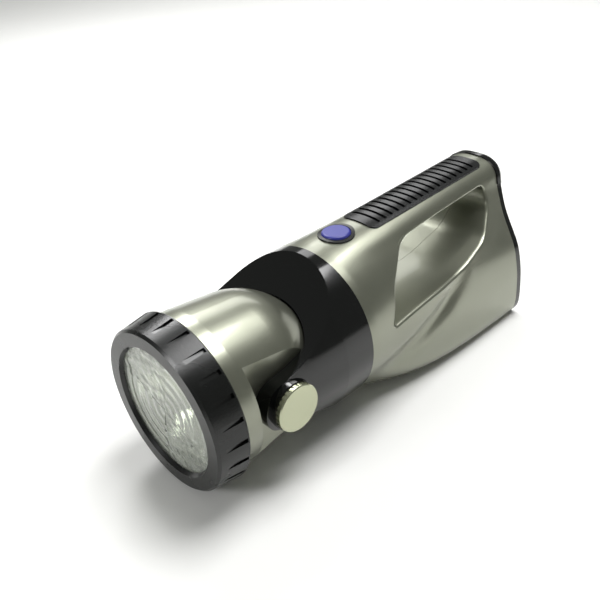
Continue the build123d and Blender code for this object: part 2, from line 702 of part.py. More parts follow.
with BuildPart() as battery_cradle:
    with BuildSketch(level_plane(TRAY_FLOOR, TRAY_CENTRE)):
        Rectangle(TRAY_WIDTH, TRAY_LENGTH)
    extrude(amount=5.0)
    for end in (-1, 1):
        with BuildSketch(level_plane(TRAY_FLOOR, TRAY_CENTRE + end * (TRAY_LENGTH - TRAY_WALL) / 2)):
            Rectangle(TRAY_WIDTH - 4.0, TRAY_WALL)
            with Locations((-POST_X, 0), (POST_X, 0)):
                Circle(2.4)
        extrude(amount=TRAY_HEIGHT)
    with BuildSketch(station_plane(CELL_REAR + 0.4, CELL_HEIGHT)):
        with GridLocations(CELL_PITCH, 0, 3, 1):
            Circle(CELL_R + 0.05)
    extrude(amount=CELL_LENGTH + 0.8, mode=Mode.SUBTRACT)
    with BuildSketch(level_plane(BOARD_HEIGHT, TRAY_CENTRE)):
        with Locations(*BOARD_SCREWS):
            Circle(SCREW_R)
    extrude(amount=-9, mode=Mode.SUBTRACT)
    # The tray's underside follows the shells, which are narrowest at its front end.
    with BuildSketch(station_plane(TRAY_CENTRE - TRAY_LENGTH / 2)):
        with BuildLine():
            Polyline(*(tray_ring + [(-x, z) for x, z in reversed(tray_ring[1:-1])]), close=True)
        make_face()
    extrude(amount=-TRAY_LENGTH, mode=Mode.INTERSECT)
finish(battery_cradle, "battery_cradle")

with BuildPart() as battery_contacts:
    for station, ahead in ((CELL_FRONT - 1.4, -1), (CELL_REAR + 1.4, 1)):
        with BuildSketch(station_plane(station, CELL_HEIGHT)):
            with GridLocations(CELL_PITCH, 0, 3, 1):
                RectangleRounded(11.6, 12.0, 2.0)
        extrude(amount=ahead * 0.6)
        with BuildSketch(station_plane(station, CELL_HEIGHT)):
            with GridLocations(CELL_PITCH, 0, 3, 1):
                Circle(3.0)
        extrude(amount=ahead * 1.4)
finish(battery_contacts, "battery_contacts")

with BuildPart() as main_board:
    with BuildSketch(level_plane(BOARD_HEIGHT, TRAY_CENTRE)):
        Rectangle(BOARD_WIDTH, TRAY_LENGTH)
        with Locations(*BOARD_SCREWS):
            Circle(SCREW_R + 0.3, mode=Mode.SUBTRACT)
    extrude(amount=PCB)
finish(main_board, "main_board")

with BuildPart() as board_components:
    with BuildSketch(level_plane(BOARD_HEIGHT + PCB, TRAY_CENTRE)):
        with Locations((-17, -12), (-17, 1), (16, 12)):
            Circle(4.0)
    extrude(amount=7.5)
    with BuildSketch(level_plane(BOARD_HEIGHT + PCB, TRAY_CENTRE)):
        with Locations((2, -10), (2, 10)):
            Rectangle(14, 7)
    extrude(amount=2.2)
    with BuildSketch(level_plane(BOARD_HEIGHT + PCB, TRAY_CENTRE)):
        with Locations((18, -8)):
            Rectangle(12, 10)
    extrude(amount=6.0)
finish(board_components, "board_components")

with BuildPart() as board_screws:
    with BuildSketch(level_plane(BOARD_HEIGHT + PCB, TRAY_CENTRE)):
        with Locations(*BOARD_SCREWS):
            Circle(2.4)
    extrude(amount=1.8)
    with BuildSketch(level_plane(BOARD_HEIGHT + PCB, TRAY_CENTRE)):
        with Locations(*BOARD_SCREWS):
            Circle(SCREW_R - 0.02)
    extrude(amount=-9)
finish(board_screws, "board_screws")

# ---------------------------------------------------------------- rear cover and handle end cap
CENTRE_UP = Vector(0, REAR_LEAN, 1).normalized()
SPLIT_UP = (CAP_SPLIT - CRANK_HEIGHT) * CENTRE_UP.Z


def rear_outline(depth, inset):
    """Right half of the body's outline where a plane square to the crank axis cuts it, drawn in by inset."""
    flat = []
    origin = REAR_CENTRE + INWARD * depth
    for across, height in OUTLINE:
        station = REAR_STATION + REAR_LEAN * height - depth / OUTWARD.Y
        angle = degrees(atan2(height, across))
        radius = COLLAR_R + (hypot(across, height) - COLLAR_R) * growth(angle, station)
        point = Vector(0, FRONT_Y + station, AXIS_HEIGHT + radius * sin(radians(angle)))
        flat.append((radius * cos(radians(angle)), (point - origin).dot(CENTRE_UP)))
    points = []
    for k, (x, z) in enumerate(flat):
        before = flat[k - 1] if k else (-flat[1][0], flat[1][1])
        after = flat[k + 1] if k + 1 < len(flat) else (-flat[-2][0], flat[-2][1])
        dx, dz = after[0] - before[0], after[1] - before[1]
        size = hypot(dx, dz)
        points.append((max(x + inset * dz / size, 0.0), z - inset * dx / size))
    points[0] = (0.0, points[0][1])
    points[-1] = (0.0, points[-1][1])
    return points


def rear_stack(steps):
    """Whole rear slab through steps of (depth, inset), cut flat where the torch stands."""
    with BuildPart() as slab:
        for depth, inset in steps:
            points = rear_outline(depth, inset)
            with BuildSketch(rear_plane(depth)):
                with BuildLine():
                    Spline(*points, tangents=((1, 0), (-1, 0)))
                    Line(points[-1], points[0])
                make_face()
        loft(ruled=True)
        mirror(about=Plane.YZ)
        split(bisect_by=level_plane(-AXIS_HEIGHT), keep=Keep.TOP)
    return slab.part


def rear_prism(depth, inset, reach):
    """Straight prism on the rear outline drawn in by inset, from a depth inwards."""
    half = rear_outline(depth, inset)
    whole_ring = half + [(-x, up) for x, up in reversed(half[1:-1])]
    with BuildPart() as prism:
        with BuildSketch(rear_plane(depth)):
            with BuildLine():
                Polyline(*whole_ring, close=True)
            make_face()
        extrude(amount=reach)
    return prism.part


def band(low, high, depth, reach):
    """Block between two heights of the rear plane, from a depth inwards."""
    with BuildPart() as block:
        with BuildSketch(rear_plane(depth)):
            with Locations((0, (low + high) / 2)):
                Rectangle(4 * COLLAR_R, high - low)
        extrude(amount=reach)
    return block.part


CELL_WALL = 2.5
POSTS = [(-22.0, 11.5), (30.5, 12.6), (-27.0, -11.0)]
PLATE_FRONT = 29.3
PAN_BACK = DISH_DEPTH - COVER_THICKNESS + DISH_WALL
DISH_FLOOR = DISH_DEPTH - COVER_THICKNESS

with BuildPart() as cover_hollow:
    add(rear_prism(-COVER_THICKNESS + CELL_WALL, CELL_WALL, COVER_THICKNESS))
    split(bisect_by=level_plane(CELL_WALL - AXIS_HEIGHT), keep=Keep.TOP)
    with BuildSketch(rear_plane(-COVER_THICKNESS)):
        Circle(DISH_R + DISH_WALL)
        with Locations(*COVER_SCREWS):
            Circle(BOSS_R)
    extrude(amount=COVER_THICKNESS + 3, mode=Mode.SUBTRACT)
    add(band(SPLIT_UP - CELL_WALL, 90, -20, 40), mode=Mode.SUBTRACT)

with BuildPart() as rear_cover:
    add(rear_stack([(0.0, 0.0), (-COVER_THICKNESS + 1.5, 0.0), (-COVER_THICKNESS + 0.5, 0.5),
                    (-COVER_THICKNESS, 1.5)]))
    add(band(SPLIT_UP, 90, -20, 40), mode=Mode.SUBTRACT)
    add(cover_hollow.part, mode=Mode.SUBTRACT)
    with BuildSketch(rear_plane(0)):
        Circle(DISH_R + DISH_WALL)
    extrude(amount=PAN_BACK)
    with BuildSketch(rear_plane(-COVER_THICKNESS)):
        Circle(DISH_R)
    extrude(amount=DISH_DEPTH, mode=Mode.SUBTRACT)
    with BuildSketch(rear_plane(PAN_BACK)):
        with Locations(*POSTS):
            Circle(2.6)
    extrude(amount=PLATE_FRONT - PAN_BACK)
    with BuildSketch(rear_plane(PLATE_FRONT)):
        with Locations(*POSTS):
            Circle(SCREW_R)
    extrude(amount=-9, mode=Mode.SUBTRACT)
    with BuildSketch(rear_plane(0)):
        Circle(4.45)
    extrude(amount=PAN_BACK, mode=Mode.SUBTRACT)
    with BuildSketch(rear_plane(-COVER_THICKNESS)):
        with Locations(*COVER_SCREWS):
            Circle(SCREW_HEAD_R + 0.2)
    extrude(amount=COVER_THICKNESS - 1.0, mode=Mode.SUBTRACT)
    with BuildSketch(rear_plane(-COVER_THICKNESS)):
        with Locations(*COVER_SCREWS):
            Circle(SCREW_R + 0.3)
    extrude(amount=COVER_THICKNESS + 1, mode=Mode.SUBTRACT)
finish(rear_cover, "rear_cover")

with BuildPart() as cover_screws:
    with BuildSketch(rear_plane(-3.2)):
        with Locations(*COVER_SCREWS):
            Circle(SCREW_HEAD_R)
    extrude(amount=2.2)
    with BuildSketch(rear_plane(-1.0)):
        with Locations(*COVER_SCREWS):
            Circle(SCREW_R - 0.02)
    extrude(amount=9.5)
finish(cover_screws, "cover_screws")

CAP_LOW = SPLIT_UP + CAP_GAP
PLUG_DEPTH = 2.4

with BuildPart() as handle_end_cap:
    add(rear_stack([(0.0, -0.8), (-3.6, -0.8), (-5.4, -0.1), (-6.7, 1.2), (-CAP_THICKNESS, 3.2)]))
    add(rear_prism(PLUG_DEPTH, WALL + 0.15, -PLUG_DEPTH - 3.6))
    add(rear_prism(PLUG_DEPTH + 1, WALL + 1.9, -PLUG_DEPTH - 4.6), mode=Mode.SUBTRACT)
    add(band(-90, CAP_LOW, -20, 40), mode=Mode.SUBTRACT)
finish(handle_end_cap, "handle_end_cap")

# ---------------------------------------------------------------- crank and folding knob
ARM_FRONT = 2.9
ARM_BACK = ARM_FRONT + ARM_PLATE
KNOB_DEPTH = -1.4
RAIL_X = 4.6
BUSH_BACK = 8.9
SHAFT_END = 31.0
CRANK_GEAR_DEPTH = 9.2


def round_on(depth, radius, length, spots=((0, 0),)):
    """Rounds square to the rear face, from a depth inwards."""
    with BuildSketch(rear_plane(depth)) as profile:
        with Locations(*spots):
            Circle(radius)
    extrude(profile.sketch, amount=length)


def bore_on(depth, radius, length, spots=((0, 0),)):
    """Round holes square to the rear face, from a depth inwards."""
    with BuildSketch(rear_plane(depth)) as profile:
        with Locations(*spots):
            Circle(radius)
    extrude(profile.sketch, amount=length, mode=Mode.SUBTRACT)


with BuildPart() as shaft_bush:
    round_on(DISH_FLOOR + 0.1, 4.45, BUSH_BACK - DISH_FLOOR - 0.1)
    round_on(PAN_BACK, 6.2, BUSH_BACK - PAN_BACK)
    bore_on(0, SHAFT_R + RUNNING_GAP, 12)
finish(shaft_bush, "shaft_bush")

with BuildPart() as crank_shaft:
    round_on(ARM_BACK, SHAFT_R, SHAFT_END - ARM_BACK)
    round_on(4.3, 2.4, ARM_BACK - 4.3)
    bore_on(4.2, 1.2, 8.5)
finish(crank_shaft, "crank_shaft")

with BuildPart() as crank_screw:
    round_on(ARM_FRONT + 0.05, 4.0, 1.25)
    round_on(4.2, 1.18, 8.0)
finish(crank_screw, "crank_screw")

with BuildPart() as crank_arm:
    with BuildSketch(rear_plane(ARM_FRONT)):
        Circle(11.0)
        with Locations((0, 15.0)):
            RectangleRounded(2 * (RAIL_X + RAIL_THICKNESS), 32.0, 5.0)
    extrude(amount=ARM_PLATE)
    with BuildSketch(rear_plane(-4.4)):
        with Locations((-RAIL_X - RAIL_THICKNESS / 2, 18.5), (RAIL_X + RAIL_THICKNESS / 2, 18.5)):
            Rectangle(RAIL_THICKNESS, 21.0)
    extrude(amount=ARM_FRONT + 4.4)
    bore_on(ARM_FRONT - 1, 4.1, 2.3)
    bore_on(ARM_FRONT - 1, 2.42, 6)
    with BuildSketch(Plane(REAR_CENTRE + INWARD * KNOB_DEPTH + CENTRE_UP * CRANK_REACH, x_dir=CENTRE_UP,
                           z_dir=(1, 0, 0))):
        Circle(HINGE_PIN_R + 0.02)
    extrude(amount=20, both=True, mode=Mode.SUBTRACT)
finish(crank_arm, "crank_arm")

HINGE_PLANE = Plane(REAR_CENTRE + INWARD * KNOB_DEPTH + CENTRE_UP * CRANK_REACH, x_dir=CENTRE_UP, z_dir=(1, 0, 0))
# Local z of the knob's plane runs down the folded knob from the hinge.
KNOB_PLANE = Plane(HINGE_PLANE.origin, x_dir=(1, 0, 0), z_dir=CENTRE_UP * -1)
SLEEVE_START = 4.2
KNOB_HEAD = SLEEVE_START + KNOB_LENGTH - 4.0

with BuildPart() as knob_hinge_pin:
    with BuildSketch(HINGE_PLANE):
        Circle(HINGE_PIN_R)
    extrude(amount=RAIL_X + RAIL_THICKNESS, both=True)
finish(knob_hinge_pin, "knob_hinge_pin")

with BuildPart() as knob_post:
    with BuildSketch(HINGE_PLANE):
        Circle(3.9)
    extrude(amount=RAIL_X - 0.3, both=True)
    with BuildSketch(KNOB_PLANE):
        Circle(POST_R)
    extrude(amount=KNOB_HEAD + 1.6)
    with BuildSketch(KNOB_PLANE.offset(KNOB_HEAD)):
        Circle(3.6)
    extrude(amount=1.6)
    with BuildSketch(HINGE_PLANE):
        Circle(HINGE_PIN_R + RUNNING_GAP)
    extrude(amount=20, both=True, mode=Mode.SUBTRACT)
finish(knob_post, "knob_post")

with BuildPart() as knob_sleeve:
    with BuildSketch(KNOB_PLANE.offset(SLEEVE_START)):
        Circle(KNOB_R)
        Circle(POST_R + RUNNING_GAP, mode=Mode.SUBTRACT)
    extrude(amount=KNOB_HEAD - SLEEVE_START - 0.1)
    chamfer(knob_sleeve.edges().filter_by(GeomType.CIRCLE).filter_by(lambda e: e.radius > 3), length=0.4)
finish(knob_sleeve, "knob_sleeve")

# ---------------------------------------------------------------- gear train and generator
FIRST_ANGLE, SECOND_ANGLE, ROTOR_ANGLE = -15.0, 220.0, 190.0
FIRST_SPAN = MODULE * (CRANK_TEETH + PINION_TEETH) / 2
SECOND_SPAN = MODULE * (WHEEL_TEETH + PINION_TEETH) / 2
FIRST = (FIRST_SPAN * cos(radians(FIRST_ANGLE)), FIRST_SPAN * sin(radians(FIRST_ANGLE)))
SECOND = (FIRST[0] + SECOND_SPAN * cos(radians(SECOND_ANGLE)), FIRST[1] + SECOND_SPAN * sin(radians(SECOND_ANGLE)))
ROTOR = (SECOND[0] + SECOND_SPAN * cos(radians(ROTOR_ANGLE)), SECOND[1] + SECOND_SPAN * sin(radians(ROTOR_ANGLE)))
FIRST_WHEEL_DEPTH = 16.0
SECOND_WHEEL_DEPTH = 22.8


def involute(angle):
    """Involute function of an angle in radians."""
    return sin(angle) / cos(angle) - angle


def toothed(teeth, centre, depth, length, tooth_at, addendum, root):
    """Spur gear square to the rear face with a tooth centred on one angle."""
    pitch_r = MODULE * teeth / 2
    base_r = pitch_r * cos(radians(PRESSURE_ANGLE))
    half = pi / (2 * teeth) - BACKLASH / (4 * pitch_r) + involute(radians(PRESSURE_ANGLE))
    flank = []
    for radius in (root, (root + pitch_r + addendum) / 2, pitch_r + addendum):
        turn = involute(atan2(sqrt(max(radius**2 - base_r**2, 0.0)), base_r))
        flank.append((radius, (half - turn) * (0.86 if radius < base_r else 1.0)))
    points = []
    for k in range(teeth):
        middle = radians(tooth_at) + 2 * pi * k / teeth
        for radius, spread in flank:
            points.append((centre[0] + radius * cos(middle - spread), centre[1] + radius * sin(middle - spread)))
        for radius, spread in reversed(flank):
            points.append((centre[0] + radius * cos(middle + spread), centre[1] + radius * sin(middle + spread)))
    with BuildSketch(rear_plane(depth)) as profile:
        with BuildLine():
            Polyline(*points, close=True)
        make_face()
    extrude(profile.sketch, amount=length)


def wheel(teeth, centre, depth, tooth_at):
    """Large gear of a pair."""
    toothed(teeth, centre, depth, GEAR_FACE, tooth_at, 0.7 * MODULE, MODULE * teeth / 2 - 1.3 * MODULE)


def pinion(centre, depth, length, gap_at):
    """Small gear of a pair, a gap between teeth on the line of centres."""
    toothed(PINION_TEETH, centre, depth, length, gap_at + 180 / PINION_TEETH, MODULE, 5 * MODULE)


with BuildPart() as crank_gear:
    wheel(CRANK_TEETH, (0, 0), CRANK_GEAR_DEPTH, FIRST_ANGLE)
    with BuildSketch(rear_plane(CRANK_GEAR_DEPTH)):
        with PolarLocations(11.0, 6):
            Circle(3.6)
    extrude(amount=GEAR_FACE, mode=Mode.SUBTRACT)
    bore_on(0, SHAFT_R + 0.02, 20)
finish(crank_gear, "crank_gear")

with BuildPart() as first_gear:
    pinion(FIRST, CRANK_GEAR_DEPTH, FIRST_WHEEL_DEPTH - CRANK_GEAR_DEPTH, FIRST_ANGLE + 180)
    wheel(WHEEL_TEETH, FIRST, FIRST_WHEEL_DEPTH, SECOND_ANGLE)
    bore_on(0, GEAR_PIN_R + RUNNING_GAP, 40, (FIRST,))
finish(first_gear, "first_gear")

with BuildPart() as second_gear:
    pinion(SECOND, FIRST_WHEEL_DEPTH, SECOND_WHEEL_DEPTH - FIRST_WHEEL_DEPTH, SECOND_ANGLE + 180)
    wheel(WHEEL_TEETH, SECOND, SECOND_WHEEL_DEPTH, ROTOR_ANGLE)
    bore_on(0, GEAR_PIN_R + RUNNING_GAP, 40, (SECOND,))
finish(second_gear, "second_gear")

ROTOR_R = 1.0

with BuildPart() as rotor_pinion:
    pinion(ROTOR, SECOND_WHEEL_DEPTH, GEAR_FACE, ROTOR_ANGLE + 180)
    bore_on(0, ROTOR_R + 0.02, 40, (ROTOR,))
finish(rotor_pinion, "rotor_pinion")

PLATE_BACK = PLATE_FRONT + PLATE_THICKNESS
CAN_R = 14.0
CAN_END = 50.0
EARS = [(ROTOR[0] - 17.5, ROTOR[1]), (ROTOR[0] + 17.5, ROTOR[1])]

with BuildPart() as gear_plate:
    with BuildSketch(rear_plane(PLATE_FRONT)):
        with BuildLine():
            for spot, radius in [(post, 4.0) for post in POSTS] + [(ear, 3.4) for ear in EARS] \
                    + [(FIRST, 4.0), (SECOND, 4.0), (ROTOR, CAN_R + 1.0)]:
                CenterArc(spot, radius, 0, 360)
        make_hull()
    extrude(amount=PLATE_THICKNESS)
    bore_on(PLATE_FRONT - 1, SCREW_R + 0.3, 5, POSTS)
    bore_on(PLATE_FRONT - 1, SCREW_R, 5, EARS)
    bore_on(PLATE_FRONT - 1, GEAR_PIN_R, 5, (FIRST, SECOND))
    bore_on(PLATE_FRONT - 1, SHAFT_R + RUNNING_GAP, 5)
    bore_on(PLATE_FRONT - 1, 3.0, 5, (ROTOR,))
finish(gear_plate, "gear_plate")

with BuildPart() as gear_pins:
    round_on(PAN_BACK, GEAR_PIN_R, PLATE_BACK - PAN_BACK, (FIRST,))
    round_on(15.0, GEAR_PIN_R, PLATE_BACK - 15.0, (SECOND,))
finish(gear_pins, "gear_pins")

with BuildPart() as plate_screws:
    round_on(PLATE_BACK, 2.4, 1.8, POSTS)
    round_on(PLATE_BACK, SCREW_R - 0.02, -10.0, POSTS)
    round_on(PLATE_BACK + 2.0, 2.4, 1.8, EARS)
    round_on(PLATE_BACK + 2.0, SCREW_R - 0.02, -4.0, EARS)
finish(plate_screws, "plate_screws")

LID = 1.2
COIL_FRONT, COIL_BACK = 34.0, 46.0

with BuildPart() as generator_case:
    round_on(PLATE_BACK, CAN_R, CAN_END - PLATE_BACK, (ROTOR,))
    with BuildSketch(rear_plane(PLATE_BACK)):
        with Locations(*EARS):
            Circle(3.4)
        with Locations(ROTOR):
            Rectangle(35.0, 6.8)
    extrude(amount=2.0)
    bore_on(PLATE_BACK - 1, CAN_R - 1.0, CAN_END - PLATE_BACK, (ROTOR,))
    bore_on(PLATE_BACK, SCREW_R + 0.3, 5, EARS)
    bore_on(PLATE_BACK, ROTOR_R + RUNNING_GAP, 30, (ROTOR,))
finish(generator_case, "generator_case")

with BuildPart() as generator_lid:
    round_on(PLATE_BACK, CAN_R - 1.05, LID, (ROTOR,))
    bore_on(PLATE_BACK - 1, ROTOR_R + RUNNING_GAP, 5, (ROTOR,))
finish(generator_lid, "generator_lid")

with BuildPart() as generator_coils:
    round_on(COIL_FRONT, CAN_R - 1.05, COIL_BACK - COIL_FRONT, (ROTOR,))
    bore_on(COIL_FRONT - 1, 7.6, 20, (ROTOR,))
    with BuildSketch(rear_plane(COIL_FRONT)):
        with Locations(ROTOR):
            with PolarLocations(10.4, 6):
                Circle(1.3)
    extrude(amount=COIL_BACK - COIL_FRONT, mode=Mode.SUBTRACT)
finish(generator_coils, "generator_coils")

with BuildPart() as rotor_shaft:
    round_on(SECOND_WHEEL_DEPTH - 0.5, ROTOR_R, CAN_END - SECOND_WHEEL_DEPTH + 0.3, (ROTOR,))
finish(rotor_shaft, "rotor_shaft")

with BuildPart() as rotor_magnet:
    round_on(COIL_FRONT + 1.0, 7.0, COIL_BACK - COIL_FRONT - 2.0, (ROTOR,))
    bore_on(COIL_FRONT - 1, ROTOR_R + 0.02, 20, (ROTOR,))
finish(rotor_magnet, "rotor_magnet")
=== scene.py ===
"""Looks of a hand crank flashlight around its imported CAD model, laid out as a Blender add-on.

Points are worked out in millimetres as (across, station, height): stations run back from the front
rim, heights are measured from the long axis. row() moves them into the frame's own axes.
"""

import math

import bmesh
import bpy
import numpy as np
from bpy.props import FloatProperty, FloatVectorProperty, PointerProperty
from bpy.types import Operator, Panel, PropertyGroup
from mathutils import Matrix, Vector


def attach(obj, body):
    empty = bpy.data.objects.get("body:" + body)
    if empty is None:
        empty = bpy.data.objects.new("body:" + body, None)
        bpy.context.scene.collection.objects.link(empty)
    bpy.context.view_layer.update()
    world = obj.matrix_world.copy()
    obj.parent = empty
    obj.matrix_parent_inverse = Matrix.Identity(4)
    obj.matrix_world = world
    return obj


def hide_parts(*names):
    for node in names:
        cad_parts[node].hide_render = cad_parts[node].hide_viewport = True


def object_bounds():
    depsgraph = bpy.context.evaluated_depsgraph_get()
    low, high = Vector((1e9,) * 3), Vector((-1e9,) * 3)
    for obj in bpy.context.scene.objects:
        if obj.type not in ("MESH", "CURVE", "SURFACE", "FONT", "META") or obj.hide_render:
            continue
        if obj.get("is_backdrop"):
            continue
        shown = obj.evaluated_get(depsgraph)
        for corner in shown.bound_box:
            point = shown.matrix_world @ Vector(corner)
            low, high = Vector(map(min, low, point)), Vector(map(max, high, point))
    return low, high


bl_info = {
    "name": "Hand crank flashlight looks",
    "version": (1, 0, 0),
    "blender": (4, 5, 0),
    "location": "View3D > Sidebar > Flashlight",
    "description": "Builds the visible skins, lens and finishes of a hand crank flashlight",
    "category": "Object",
}

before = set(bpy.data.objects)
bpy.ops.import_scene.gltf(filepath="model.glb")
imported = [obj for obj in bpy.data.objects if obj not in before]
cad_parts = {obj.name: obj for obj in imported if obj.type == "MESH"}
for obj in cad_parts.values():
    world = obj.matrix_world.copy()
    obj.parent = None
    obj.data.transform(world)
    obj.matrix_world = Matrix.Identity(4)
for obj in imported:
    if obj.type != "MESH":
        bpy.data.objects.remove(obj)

MM = 0.001
AXIS_HEIGHT = 49.5
FRONT_Y = -137.8

# Body: a ring at the collar that grows into the rear outline.
RING_R = 48.0
BODY_FRONT = 109.9
FRONT_GAP = 0.05
REAR_STATION = 261.0
REAR_LEAN = 0.14
SKIN = 2.4
BODY_ROWS = 120
BODY_COLUMNS = 150
OUTLINE = np.array([(0, 53.5), (9.5, 52.6), (15.5, 49.8), (19.7, 45), (22, 38), (24.4, 32), (27, 26), (30, 20),
                    (33.5, 14), (37.2, 8), (40.8, 2), (43.6, -4.5), (45.6, -11), (47.1, -17), (48.2, -23.5),
                    (49, -30), (49.5, -36), (48.3, -44.5), (43, -49.6), (34, -50.8), (18, -51), (0, -51)])
RING_POINTS = 900
CHORD_POWER = 0.7

# How the body grows out of the ring: where it starts, and run and power on top and below.
GROWTH_START = 115.0
TOP_RUN, TOP_POWER = 147.0, 0.9
LOW_RUN, LOW_POWER = 38.0, 1.3
BLEND_FROM, BLEND_SPAN = 40, 70

# Valley up each side: depth, half breadth, the line it climbs and the stations it fades in and out between.
VALLEY_DEPTH, VALLEY_BREADTH, VALLEY_INSIDE = 2.6, 6.5, 20
VALLEY_LOW, VALLEY_CLIMB, VALLEY_POWER = -21, 26.4, 1.6
VALLEY_START, VALLEY_RUN = 124.5, 84
VALLEY_FROM, VALLEY_TO, VALLEY_FADE = 118, 212, 25

# Handle opening, as corners (station, height) with their radii, and the seats of the pad and the button.
OPENING_CORNERS = [(129.5, 3.9), (140.5, 24.5), (163.5, 39.8), (252.0, 43.0), (251.5, 30.0), (234.0, 14.0),
                   (200.0, 5.8)]
OPENING_RADII = (2.0, 25.0, 30.0, 4.5, 14.0, 25.0, 80.0)
OPENING_POINTS = 220
TUNNEL_WALL = 1.8
PAD_CORNERS = [(-13.3, 150.9), (13.3, 150.9), (13.3, 261.1), (-13.3, 261.1)]
PAD_CORNER_R = 5.1
BUTTON_STATION = 133.3
BUTTON_SEAT_R = 11.1

# Front lens: slightly sunk front, rings moulded in the back between two radii.
LENS_R = 42.4
LENS_FRONT = 2.35
LENS_SAG = 0.2
LENS_BACK = 4.15
LENS_RING_DEPTH = 0.28
LENS_RING_PITCH = 9.0
LENS_RING_FROM, LENS_RING_TO = 6, 34

# Stage: name, place and aim in metres, size in metres, power in watts.
LIGHTS = (
    ("key", (-0.9, 0.35, 0.9), (0, 0, 0.04), 0.45, 8.0),
    ("top", (0.1, 0.45, 1.4), (0, 0, 0.04), 0.8, 21.0),
    ("front", (-0.25, -1.3, 0.7), (0, 0, 0.04), 0.3, 6.0),
    ("sweep", (-2.2, 2.2, 1.8), (-2.2, 2.15, 0.8), 1.6, 24.0),
)
WORLD_COLOUR = (0.93, 0.95, 0.9, 1)
WORLD_STRENGTH = 0.22
FLOOR_HALF = 6000.0
CAMERA_AZIMUTH, CAMERA_ELEVATION, CAMERA_ROLL = 48.252, 31.373, -4.704
CAMERA_PLACE = (270.99, -137.69, 247.04)
CAMERA_LENS = 44.4
CAMERA_SHIFT = (-0.005, -0.02)


def linear(hex_colour):
    """sRGB hex to linear RGBA."""
    value = hex_colour.lstrip("#")
    out = []
    for k in range(0, 6, 2):
        c = int(value[k:k + 2], 16) / 255
        out.append(c / 12.92 if c <= 0.04045 else ((c + 0.055) / 1.055) ** 2.4)
    return (*out, 1.0)


# ---------------------------------------------------------------- settings
def colour_setting(name, description, hex_colour):
    """Colour property with its default written as sRGB hex."""
    return FloatVectorProperty(name=name, description=description, subtype="COLOR", size=4, min=0, max=1,
                               default=linear(hex_colour))


class FlashlightSettings(PropertyGroup):
    """Sizes and colours of the flashlight's looks."""

    silver: colour_setting("Silver paint", "Paint of the body shells and the head", "#8A8C7E")
    black: colour_setting("Gloss black", "Collar, end cap, rear cover and crank", "#040505")
    soft_black: colour_setting("Satin black", "Bezel, button ring and crank knob", "#070908")
    rubber: colour_setting("Grip rubber", "Ribbed pad on the handle", "#050607")
    blue: colour_setting("Button blue", "Push button", "#262A86")
    floor: colour_setting("Floor", "Paper sweep under the torch", "#F4F4F2")
    lip: FloatProperty(name="Handle lip", description="Roundness of the handle opening's edge, mm", default=1.3,
                       min=0.2, max=3.0)


def settings():
    """The scene's flashlight settings."""
    return bpy.context.scene.flashlight


# ---------------------------------------------------------------- mesh helpers
def linked(name, points, faces):
    """New object in the scene from points in the row frame, in millimetres, and faces as lists."""
    mesh = bpy.data.meshes.new(name)
    mesh.from_pydata((np.asarray(points) * MM).tolist(), [], faces)
    obj = bpy.data.objects.new(name, mesh)
    bpy.context.scene.collection.objects.link(obj)
    return obj


def mesh_object(name, points, faces):
    """Smooth object from points in the row frame and an array of quads."""
    obj = linked(name, points, faces.tolist())
    obj.data.validate()
    obj.data.update()
    obj.data.shade_smooth()
    return obj


def row(points):
    """Points (across, station, height above the long axis) moved into the row frame."""
    return np.asarray(points) + np.array([0.0, FRONT_Y, AXIS_HEIGHT])


def grid_faces(rows, columns, wrap_rows=False, wrap_columns=False, flip=False):
    """Quads of a grid of points stored row by row."""
    i = np.arange(rows if wrap_rows else rows - 1)
    j = np.arange(columns if wrap_columns else columns - 1)
    i, j = (a.ravel() for a in np.meshgrid(i, j, indexing="ij"))
    i2, j2 = (i + 1) % rows, (j + 1) % columns
    quads = np.stack([i * columns + j, i * columns + j2, i2 * columns + j2, i2 * columns + j], axis=1)
    return quads[:, ::-1] if flip else quads


def turned(name, profile, steps):
    """Closed profile of (station, radius) turned about the long axis: x and z are the radius times cos and sin."""
    turn = np.linspace(0, 2 * np.pi, steps, endpoint=False)
    s, r = profile[:, 0][None, :], profile[:, 1][None, :]
    points = np.stack([r * np.cos(turn)[:, None], np.broadcast_to(s, (steps, len(profile))),
                       r * np.sin(turn)[:, None]], axis=-1).reshape(-1, 3)
    return mesh_object(name, row(points), grid_faces(steps, len(profile), wrap_rows=True, wrap_columns=True))


def sharp(obj, degrees):
    """Smooth shading that keeps edges sharper than an angle."""
    obj.data.shade_smooth()
    obj.data.set_sharp_from_angle(angle=math.radians(degrees))


def face_outwards(obj):
    """Joins doubled points and turns all faces outwards."""
    mesh = bmesh.new()
    mesh.from_mesh(obj.data)
    bmesh.ops.remove_doubles(mesh, verts=mesh.verts, dist=1e-7)
    bmesh.ops.recalc_face_normals(mesh, faces=mesh.faces)
    mesh.to_mesh(obj.data)
    mesh.free()


def cut(obj, cutter):
    """Cuts one closed mesh out of another and drops the cutter."""
    mod = obj.modifiers.new("cut", "BOOLEAN")
    mod.object, mod.operation, mod.solver = cutter, "DIFFERENCE", "EXACT"
    deps = bpy.context.evaluated_depsgraph_get()
    mesh = bpy.data.meshes.new_from_object(obj.evaluated_get(deps))
    obj.modifiers.clear()
    old = obj.data
    obj.data = mesh
    bpy.data.meshes.remove(old)
    bpy.data.objects.remove(cutter, do_unlink=True)


def prism(name, outline, low, high, axis):
    """Closed prism of a 2-D outline, along X (outline is station, height) or Z (outline is across, station)."""
    n = len(outline)
    levels = []
    for level in (low, high):
        fill = np.full(n, float(level))
        levels.append(np.column_stack([fill, outline] if axis == "X" else [outline, fill]))
    faces = [tuple(range(n))[::-1], tuple(range(n, 2 * n))]
    faces += [(k, (k + 1) % n, n + (k + 1) % n, n + k) for k in range(n)]
    obj = linked(name, row(np.vstack(levels)), faces)
    face_outwards(obj)
    return obj


